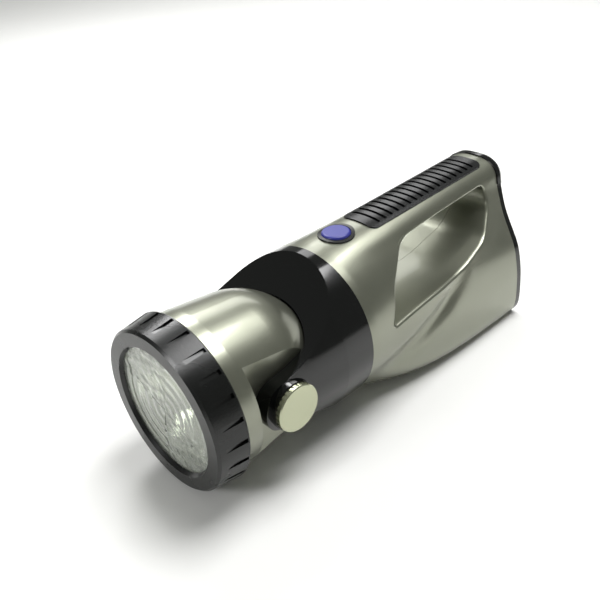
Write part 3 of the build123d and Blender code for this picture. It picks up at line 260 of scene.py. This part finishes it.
# ---------------------------------------------------------------- body form
def spline_through(values, knots, samples):
    """Natural cubic through values at knots, read at samples."""
    n = len(knots)
    h = np.diff(knots)
    matrix, right = np.eye(n), np.zeros((n, values.shape[1]))
    for k in range(1, n - 1):
        matrix[k, k - 1:k + 2] = h[k - 1], 2 * (h[k - 1] + h[k]), h[k]
        right[k] = 6 * ((values[k + 1] - values[k]) / h[k] - (values[k] - values[k - 1]) / h[k - 1])
    second = np.linalg.solve(matrix, right)
    k = np.clip(np.searchsorted(knots, samples) - 1, 0, n - 2)
    a, b = (knots[k + 1] - samples)[:, None], (samples - knots[k])[:, None]
    hk = h[k][:, None]
    return (second[k] * a**3 + second[k + 1] * b**3) / (6 * hk) + (values[k] / hk - second[k] * hk / 6) * a \
        + (values[k + 1] / hk - second[k + 1] * hk / 6) * b


def run_along(points):
    """Length from the first point to each point of a line."""
    return np.concatenate([[0], np.cumsum(np.linalg.norm(np.diff(points, axis=0), axis=1))])


def evenly(points, count):
    """Line through points read again at evenly spread lengths."""
    run = run_along(points)
    even = np.linspace(0, run[-1], count)
    return np.column_stack([np.interp(even, run, points[:, 0]), np.interp(even, run, points[:, 1])])


def ring_samples(count):
    """Fine right half of the rear outline, evenly spread, with level ends.

    A cubic runs through the outline's points and three mirrored ones past each end, its knots
    spaced by the chord to a power.
    """
    mirrored = np.vstack([(OUTLINE[3:0:-1] * (-1, 1)), OUTLINE, OUTLINE[-2:-5:-1] * (-1, 1)])
    knots = np.concatenate([[0], np.cumsum(np.linalg.norm(np.diff(mirrored, axis=0), axis=1) ** CHORD_POWER)])
    out = evenly(spline_through(mirrored, knots, np.linspace(knots[3], knots[-4], RING_POINTS)), count)
    out[0, 0] = out[-1, 0] = 0.0
    return out


def smoothstep(value):
    """Smooth step from 0 to 1."""
    value = np.clip(value, 0, 1)
    return value * value * (3 - 2 * value)


def body_points(station, ring, inset=0.0):
    """Points of the body's outside for stations (rows) along a ring of rear outline points (columns).

    Each point keeps its angle about the axis. Its radius goes from the collar's ring to the rear
    outline, slowly on top, as the run to a power, and fast below, as one minus a falling
    exponential, blended by the angle. A bell-shaped valley then climbs each side. The underside is
    cut flat, and an inset moves the points square to each section.
    """
    angle = np.degrees(np.arctan2(ring[:, 1], ring[:, 0]))
    run = np.maximum(station - GROWTH_START, 0.0)
    top = (run / TOP_RUN) ** TOP_POWER
    low = 1 - np.exp(-((run / LOW_RUN) ** LOW_POWER))
    share = smoothstep((BLEND_FROM - angle) / BLEND_SPAN)
    t = top * (1 - share) + low * share
    r = RING_R + (np.hypot(ring[:, 0], ring[:, 1]) - RING_R) * t
    x, z = r * np.cos(np.radians(angle)), r * np.sin(np.radians(angle))
    line = VALLEY_LOW + VALLEY_CLIMB * np.maximum((station - VALLEY_START) / VALLEY_RUN, 0.0) ** VALLEY_POWER
    fade = np.clip((station - VALLEY_FROM) / VALLEY_FADE, 0, 1) * np.clip((VALLEY_TO - station) / VALLEY_FADE, 0, 1)
    valley = VALLEY_DEPTH * fade * np.exp(-(((z - line) / VALLEY_BREADTH) ** 2))
    x = x - np.where(x > VALLEY_INSIDE, valley, 0.0)
    points = np.stack([x, np.broadcast_to(station, x.shape), z], axis=-1)
    if inset:
        across = np.gradient(points[..., [0, 2]], axis=1)
        normal = np.stack([across[..., 1], -across[..., 0]], axis=-1)
        normal /= np.maximum(np.linalg.norm(normal, axis=-1, keepdims=True), 1e-9)
        points[..., 0] += inset * normal[..., 0]
        points[..., 2] += inset * normal[..., 1]
        points[..., 0] = np.maximum(points[..., 0], 0.0)
    points[..., 2] = np.maximum(points[..., 2], -AXIS_HEIGHT + inset)
    return points


def half_width(station, height):
    """Half width of the body at each station and height, read off the side of that station's section."""
    points = body_points(np.asarray(station, float)[:, None], ring_samples(260))
    out = np.empty(len(station))
    for k, (line, z) in enumerate(zip(points, height)):
        side = line[30:230]
        order = np.argsort(side[:, 2])
        out[k] = np.interp(z, side[order, 2], side[order, 0])
    return out


def rounded(corners, radii, per=10):
    """Closed outline through corners, each replaced by an arc that touches both of its sides."""
    corners = np.asarray(corners, float)
    out = []
    for k, (corner, radius) in enumerate(zip(corners, radii)):
        a, b = corners[k - 1] - corner, corners[(k + 1) % len(corners)] - corner
        a, b = a / np.linalg.norm(a), b / np.linalg.norm(b)
        half = math.acos(np.clip(a @ b, -1, 1)) / 2
        middle = (a + b) / np.linalg.norm(a + b)
        centre = corner + middle * radius / math.sin(half)
        start, end = corner + a * radius / math.tan(half), corner + b * radius / math.tan(half)
        for t in np.linspace(0, 1, per):
            v = (start - centre) * (1 - t) + (end - centre) * t
            out.append(centre + v / np.linalg.norm(v) * radius)
    return np.array(out)


def opening_outline():
    """Outline of the handle opening, finely sampled: (station, height)."""
    ring = rounded(OPENING_CORNERS, OPENING_RADII)
    return evenly(np.vstack([ring, ring[:1]]), OPENING_POINTS + 1)[:-1]


def widened(outline, amount):
    """Closed outline moved outwards along its own normals."""
    step = np.roll(outline, -1, axis=0) - np.roll(outline, 1, axis=0)
    normal = np.column_stack([step[:, 1], -step[:, 0]])
    normal /= np.linalg.norm(normal, axis=1, keepdims=True)
    area = np.sum(outline[:, 0] * np.roll(outline[:, 1], -1) - np.roll(outline[:, 0], -1) * outline[:, 1])
    return outline + normal * amount * np.sign(area)


# ---------------------------------------------------------------- materials
def add(tree, kind, values=None, links=None, **attributes):
    """Adds one node with its attributes, socket values and links."""
    node = tree.nodes.new(kind)
    for key, value in attributes.items():
        setattr(node, key, value)
    for key, value in (values or {}).items():
        node.inputs[key].default_value = value
    for key, source in (links or {}).items():
        tree.links.new(source, node.inputs[key])
    return node


def material(name, base, roughness, metallic=0.0, grain=0.0, grain_mm=0.5, wear=0.04, coat=0.0, extra=None):
    """Procedural finish: colour and roughness drift over centimetres, grain of a real size in millimetres."""
    mat = bpy.data.materials.new(name)
    mat.use_nodes = True
    tree = mat.node_tree
    tree.nodes.clear()
    place = add(tree, "ShaderNodeTexCoord").outputs["Object"]
    drift = add(tree, "ShaderNodeTexNoise", {"Scale": 38.0, "Detail": 3.0}, {"Vector": place}).outputs["Fac"]
    tint = add(tree, "ShaderNodeMapRange", {"To Min": 1 - 1.6 * wear, "To Max": 1 + 1.2 * wear}, {"Value": drift})
    shade = add(tree, "ShaderNodeMix", {"Factor": 1.0, "A": base}, data_type="RGBA", blend_type="MULTIPLY")
    tree.links.new(tint.outputs["Result"], shade.inputs["B"])
    rough = add(tree, "ShaderNodeMapRange", {"To Min": max(roughness - 0.05, 0.02), "To Max": roughness + 0.06},
                {"Value": drift})
    body = add(tree, "ShaderNodeBsdfPrincipled", {"Metallic": metallic, "Coat Weight": coat, "Coat Roughness": 0.06},
               {"Base Color": shade.outputs["Result"], "Roughness": rough.outputs["Result"]})
    if grain:
        fine = add(tree, "ShaderNodeTexNoise", {"Scale": 1000 / grain_mm / 2, "Detail": 2.0}, {"Vector": place})
        bump_into(tree, body, fine.outputs["Fac"], grain, 0.0002)
    if extra:
        extra(tree, place, body)
    out = add(tree, "ShaderNodeOutputMaterial")
    tree.links.new(body.outputs["BSDF"], out.inputs["Surface"])
    return mat


def bump_into(tree, body, height, strength, distance):
    """Bumps a shader by a height socket; distance is in metres."""
    bump = add(tree, "ShaderNodeBump", {"Strength": strength, "Distance": distance}, {"Height": height})
    tree.links.new(bump.outputs["Normal"], body.inputs["Normal"])


def maths(tree, operation, first, second=0.0):
    """One arithmetic node; each term is a number or a socket."""
    node = add(tree, "ShaderNodeMath", operation=operation)
    for k, term in enumerate((first, second)):
        if isinstance(term, (int, float)):
            node.inputs[k].default_value = term
        else:
            tree.links.new(term, node.inputs[k])
    return node.outputs["Value"]


def clear(tree, place, body):
    """Clear polycarbonate: 4 mm pebbles in two opposite sectors, smooth moulded rings 6.5 mm apart between them.

    The sectors lie where (along squared less aside squared) over the radius squared is positive, with
    along and aside measured on axes turned by 118 degrees about the lamp's axis.
    """
    def times(first, second):
        return maths(tree, "MULTIPLY", first, second)

    body.inputs["Transmission Weight"].default_value = 0.82
    body.inputs["IOR"].default_value = 1.58
    parts = add(tree, "ShaderNodeSeparateXYZ", links={"Vector": place})
    x, z = parts.outputs["X"], maths(tree, "SUBTRACT", parts.outputs["Z"], AXIS_HEIGHT * MM)
    turn = math.radians(118)
    along = maths(tree, "ADD", times(x, math.cos(turn)), times(z, math.sin(turn)))
    aside = maths(tree, "SUBTRACT", times(z, math.cos(turn)), times(x, math.sin(turn)))
    along2, aside2 = times(along, along), times(aside, aside)
    radius2 = maths(tree, "ADD", along2, aside2)
    ratio = maths(tree, "DIVIDE", maths(tree, "SUBTRACT", along2, aside2), radius2)
    mask = add(tree, "ShaderNodeMapRange", {"From Min": 0.0, "From Max": 0.3}, {"Value": ratio}).outputs["Result"]
    cells = add(tree, "ShaderNodeTexVoronoi", {"Scale": 230.0}, {"Vector": place}, feature="SMOOTH_F1")
    wave = times(maths(tree, "SINE", times(maths(tree, "SQRT", radius2), 2 * math.pi / 0.0065)), 0.16)
    height = add(tree, "ShaderNodeMix", {}, {"Factor": mask, "A": wave, "B": cells.outputs["Distance"]})
    bump_into(tree, body, height.outputs["Result"], 0.6, 0.0014)


def painted_glow(tree, place, body):
    """Phosphor under a clear dome, with a faint painted glow standing in for highlights on the unlit lamp."""
    body.inputs["Emission Color"].default_value = linear("#FFF6D0")
    body.inputs["Emission Strength"].default_value = 0.35


def windings(tree, place, body):
    """Enamelled wire laid turn by turn, 0.4 mm apart."""
    wave = add(tree, "ShaderNodeTexWave", {"Scale": 400.0}, {"Vector": place}, bands_direction="Y")
    bump_into(tree, body, wave.outputs["Fac"], 0.6, 0.0003)


def flake(tree, place, body):
    """Aluminium flake in the silver paint, 0.4 mm spots seen as a soft sparkle."""
    cells = add(tree, "ShaderNodeTexVoronoi", {"Scale": 1600.0}, {"Vector": place})
    bump_into(tree, body, cells.outputs["Distance"], 0.05, 0.0002)


# Finish: material name, colour (a setting's name or fixed hex), roughness and what else material() takes.
FINISHES = {
    "silver": ("silver_painted_abs", "silver", 0.30, {"metallic": 0.82, "coat": 0.35, "extra": flake}),
    "black": ("gloss_moulded_abs", "black", 0.11, {"coat": 0.12}),
    "satin": ("satin_moulded_abs", "soft_black", 0.27, {"grain": 0.2, "grain_mm": 0.6}),
    "rubber": ("moulded_tpe_rubber", "rubber", 0.24, {"grain": 0.2}),
    "blue": ("blue_moulded_button", "blue", 0.42, {"coat": 0.1}),
    "disc": ("bright_painted_disc", "#B9BCA0", 0.22, {"metallic": 0.85, "coat": 0.3, "extra": flake}),
    "lens": ("clear_polycarbonate", "#E9EEE4", 0.07, {"wear": 0.0, "extra": clear}),
    "mirror": ("vacuum_metallised_plastic", "#E6E6DE", 0.12, {"metallic": 1.0, "grain": 0.5, "grain_mm": 3.0}),
    # The lamp's dome carries a faint painted glow in place of highlights; the lamp is not lit.
    "lamp": ("led_dome_silicone", "#FFF3C4", 0.15, {"extra": painted_glow}),
    "steel": ("bright_zinc_steel", "#B9BBBE", 0.28, {"metallic": 1.0, "grain": 0.1, "grain_mm": 0.4}),
    "bronze": ("sintered_bronze", "#A87B45", 0.42, {"metallic": 1.0, "grain": 0.25, "grain_mm": 0.4}),
    "nylon": ("moulded_acetal", "#E4E2D8", 0.38, {"grain": 0.1}),
    "dark": ("moulded_dark_abs", "#141516", 0.45, {"grain": 0.2}),
    "board": ("solder_mask_board", "#145A2C", 0.35, {"coat": 0.2}),
    "copper": ("enamelled_copper_wire", "#B3622D", 0.3, {"metallic": 0.9, "extra": windings}),
    "cell": ("printed_cell_sleeve", "#1D6B3C", 0.25, {"coat": 0.3}),
    "magnet": ("sintered_ferrite", "#2A2A2C", 0.6, {"grain": 0.3, "grain_mm": 0.4}),
    "paper": ("matt_paper_sweep", "floor", 0.85, {"wear": 0.01, "grain": 0.05, "grain_mm": 2.0}),
}

NODE_FINISH = {
    "silver": ["head_shell"],
    "black": ["yoke_collar", "handle_end_cap", "rear_cover", "crank_arm", "knob_post"],
    "satin": ["bezel_ring", "knob_sleeve", "switch_ring"],
    "rubber": ["grip_pad", "lens_gasket", "friction_washer_left", "friction_washer_right"],
    "blue": ["switch_button"],
    "disc": ["pivot_cap_left", "pivot_cap_right"],
    "mirror": ["reflector"],
    "lamp": ["led_lamp"],
    "steel": ["button_spring", "case_screws", "cover_screws", "plate_screws", "board_screws", "crank_screw",
              "battery_contacts", "gear_plate", "gear_pins", "generator_case", "crank_shaft", "knob_hinge_pin",
              "rotor_shaft", "heat_sink"],
    "bronze": ["shaft_bush", "rotor_pinion"],
    "nylon": ["crank_gear", "first_gear", "second_gear", "generator_lid"],
    "dark": ["switch_body", "battery_cradle", "board_components", "pivot_sleeve_left", "pivot_sleeve_right"],
    "board": ["main_board", "led_board"],
    "copper": ["generator_coils"],
    "cell": ["battery_cells"],
    "magnet": ["rotor_magnet"],
}


def finish(key):
    """A finish's material, made the first time it is asked for."""
    name, colour, roughness, more = FINISHES[key]
    base = linear(colour) if colour.startswith("#") else tuple(getattr(settings(), colour))
    return bpy.data.materials.get(name) or material(name, base, roughness, **more)


def dress(obj, key):
    """Gives an object one finish in all its slots."""
    obj.data.materials.clear()
    obj.data.materials.append(finish(key))


# ---------------------------------------------------------------- pieces
class FLASHLIGHT_OT_finishes(Operator):
    """Gives every carried-over CAD node its finish"""

    bl_idname = "flashlight.finishes"
    bl_label = "Finish the CAD nodes"

    def execute(self, context):
        for key, nodes in NODE_FINISH.items():
            for node in nodes:
                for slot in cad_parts[node].material_slots:
                    slot.material = finish(key)
        return {"FINISHED"}


class FLASHLIGHT_OT_body(Operator):
    """Builds the two painted body shells with the handle opening"""

    bl_idname = "flashlight.body"
    bl_label = "Body shells"

    def execute(self, context):
        lip = settings().lip
        loop, faces = self.shell()
        outline = opening_outline()
        wide = widened(outline, lip)
        pad = rounded(PAD_CORNERS, (PAD_CORNER_R,) * 4)
        turn = np.linspace(0, 2 * np.pi, 96, endpoint=False)
        button = np.column_stack([BUTTON_SEAT_R * np.cos(turn), BUTTON_STATION + BUTTON_SEAT_R * np.sin(turn)])
        for end, side in (("right", 1), ("left", -1)):
            skin = mesh_object("body_skin_" + end, row(loop * (side, 1, 1)), faces if side > 0 else faces[:, ::-1])
            face_outwards(skin)
            cut(skin, prism("opening", wide, side * 5.0, side * 70.0, "X"))
            cut(skin, prism("pocket", pad, 20.0, 80.0, "Z"))
            cut(skin, prism("button", button, 20.0, 80.0, "Z"))
            sharp(skin, 38)
            dress(skin, "silver")
            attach(skin, "body")
            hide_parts("body_shell_" + end)
        self.tunnel(outline, lip)
        return {"FINISHED"}

    def shell(self):
        """Right half as one closed skin: each station's outer line runs on into its inner line, with closed ends."""
        ring = ring_samples(BODY_COLUMNS)
        t = np.linspace(0, 1, BODY_ROWS)[:, None]
        end = REAR_STATION + REAR_LEAN * np.broadcast_to(ring[:, 1], (BODY_ROWS, len(ring)))
        station = BODY_FRONT + FRONT_GAP + (end - BODY_FRONT - FRONT_GAP) * t
        outer, inner = body_points(station, ring), body_points(station, ring, SKIN)
        n, m = outer.shape[:2]
        j = np.arange(m - 1)
        front = np.column_stack([j, j + 1, 2 * m - 2 - j, 2 * m - 1 - j])
        back = (n - 1) * 2 * m + front[:, [1, 0, 3, 2]]
        loop = np.concatenate([outer, inner[:, ::-1]], axis=1)
        return loop.reshape(-1, 3), np.vstack([grid_faces(n, 2 * m, wrap_columns=True), front, back])

    def tunnel(self, outline, lip):
        """Wall of the handle opening.

        Each column is the opening's outline moved out by a step of a quarter round and laid on the body's
        half width less that step's depth, so the edge rolls out to meet the shells.
        """
        steps = [(0.0, lip), (0.12 * lip, lip * 0.62), (0.38 * lip, lip * 0.26), (lip, 0.03), (lip * 2.2, 0.0)]
        columns = []
        for depth, out in steps:
            ring = widened(outline, out)
            columns.append(np.column_stack([half_width(ring[:, 0], ring[:, 1]) - depth, ring]))
        columns += [np.column_stack([np.full(len(outline), x), outline]) for x in (8.0, 0.12)]
        for side, name in ((1, "handle_tunnel_right"), (-1, "handle_tunnel_left")):
            wall = np.stack(columns, axis=1) * (side, 1, 1)
            back = np.stack([np.column_stack([wall[:, k, 0] - side * 0.6 * (k == 0), widened(outline, TUNNEL_WALL)])
                             for k in (len(steps) + 1, 3, 0)], axis=1)
            loop = np.concatenate([wall, back], axis=1)
            faces = grid_faces(loop.shape[0], loop.shape[1], wrap_rows=True, wrap_columns=True, flip=side < 0)
            obj = mesh_object(name, row(loop.reshape(-1, 3)), faces)
            face_outwards(obj)
            sharp(obj, 40)
            dress(obj, "silver")
            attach(obj, "body")


class FLASHLIGHT_OT_lens(Operator):
    """Builds the clear front lens with its moulded rings"""

    bl_idname = "flashlight.lens"
    bl_label = "Front lens"

    def execute(self, context):
        r = np.linspace(0.0, LENS_R, 160)
        rings = LENS_RING_DEPTH * np.sin(r * 2 * np.pi / LENS_RING_PITCH) * (r < LENS_RING_TO) * (r > LENS_RING_FROM)
        front = LENS_FRONT + LENS_SAG * (r / LENS_R) ** 2
        profile = np.vstack([np.column_stack([front, r]), np.column_stack([LENS_BACK + rings, r])[::-1]])
        profile[:, 1] = np.maximum(profile[:, 1], 0.01)
        lens = turned("front_lens_clear", profile, steps=192)
        face_outwards(lens)
        sharp(lens, 50)
        dress(lens, "lens")
        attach(lens, "head")
        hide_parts("front_lens")
        return {"FINISHED"}


# ---------------------------------------------------------------- stage
def axes(right, up, back):
    """Rotation whose local x, y and z point along three directions."""
    return Matrix((tuple(right), tuple(up), tuple(back))).transposed().to_4x4()


def look_along(back):
    """Rotation whose local z points along back, kept level."""
    back = np.asarray(back) / np.linalg.norm(back)
    right = np.cross((0, 0, 1), back)
    right = right / np.linalg.norm(right)
    return axes(right, np.cross(back, right), back)


class FLASHLIGHT_OT_stage(Operator):
    """Sets the floor, the soft lights and the camera at the photo's angle"""

    bl_idname = "flashlight.stage"
    bl_label = "Stage, lights and camera"

    def execute(self, context):
        scene = context.scene
        sheet = np.array([(-1, -1, 0), (1, -1, 0), (1, 1, 0), (-1, 1, 0)]) * FLOOR_HALF
        floor = linked("floor", sheet, [(0, 1, 2, 3)])
        dress(floor, "paper")
        floor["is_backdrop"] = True
        scene.world = scene.world or bpy.data.worlds.new("studio")
        scene.world.use_nodes = True
        sky = scene.world.node_tree.nodes["Background"]
        sky.inputs["Color"].default_value = WORLD_COLOUR
        sky.inputs["Strength"].default_value = WORLD_STRENGTH
        for name, place, aim, size, power in LIGHTS:
            light = bpy.data.lights.new(name, "AREA")
            light.size, light.energy = size, power
            lamp = bpy.data.objects.new(name, light)
            scene.collection.objects.link(lamp)
            lamp.matrix_world = Matrix.Translation(place) @ look_along(np.subtract(place, aim))
        self.camera(scene)
        scene.view_settings.view_transform = "Standard"
        return {"FINISHED"}

    def camera(self, scene):
        """Camera at the photo's azimuth, elevation and roll, which turns its right and up about its view."""
        camera = bpy.data.cameras.new("camera")
        camera.lens, camera.sensor_width = CAMERA_LENS, 36.0
        camera.shift_x, camera.shift_y = CAMERA_SHIFT
        camera.clip_start, camera.clip_end = 0.01, 30
        eye = bpy.data.objects.new("camera", camera)
        scene.collection.objects.link(eye)
        az, el, roll = (math.radians(v) for v in (CAMERA_AZIMUTH, CAMERA_ELEVATION, CAMERA_ROLL))
        back = np.array([math.sin(az) * math.cos(el), -math.cos(az) * math.cos(el), math.sin(el)])
        right = np.array([math.cos(az), math.sin(az), 0.0])
        up = np.cross(back, right)
        turn = axes(math.cos(roll) * right + math.sin(roll) * up, math.cos(roll) * up - math.sin(roll) * right, back)
        eye.matrix_world = Matrix.Translation(row(CAMERA_PLACE) * MM) @ turn
        scene.camera = eye


class FLASHLIGHT_PT_panel(Panel):
    """The settings, and a button for each step"""

    bl_idname = "FLASHLIGHT_PT_panel"
    bl_label = "Flashlight"
    bl_space_type = "VIEW_3D"
    bl_region_type = "UI"
    bl_category = "Flashlight"

    def draw(self, context):
        for name in FlashlightSettings.__annotations__:
            self.layout.prop(context.scene.flashlight, name)
        for step in STEPS:
            self.layout.operator(step.bl_idname)


STEPS = (FLASHLIGHT_OT_finishes, FLASHLIGHT_OT_body, FLASHLIGHT_OT_lens, FLASHLIGHT_OT_stage)
CLASSES = (FlashlightSettings, *STEPS, FLASHLIGHT_PT_panel)


def register():
    """Registers the classes and the settings."""
    for kind in CLASSES:
        bpy.utils.register_class(kind)
    bpy.types.Scene.flashlight = PointerProperty(type=FlashlightSettings)


def unregister():
    """Removes the settings and the classes."""
    del bpy.types.Scene.flashlight
    for kind in reversed(CLASSES):
        bpy.utils.unregister_class(kind)


def corners():
    """The shown object's lowest and highest corners as plain numbers."""
    return [[float(v) for v in corner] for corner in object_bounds()]


def main():
    """Builds every piece around the frame."""
    register()
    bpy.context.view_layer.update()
    bpy.ops.flashlight.finishes()
    bpy.ops.flashlight.body()
    bpy.ops.flashlight.lens()
    bpy.ops.flashlight.stage()


if __name__ == "__main__":
    main()
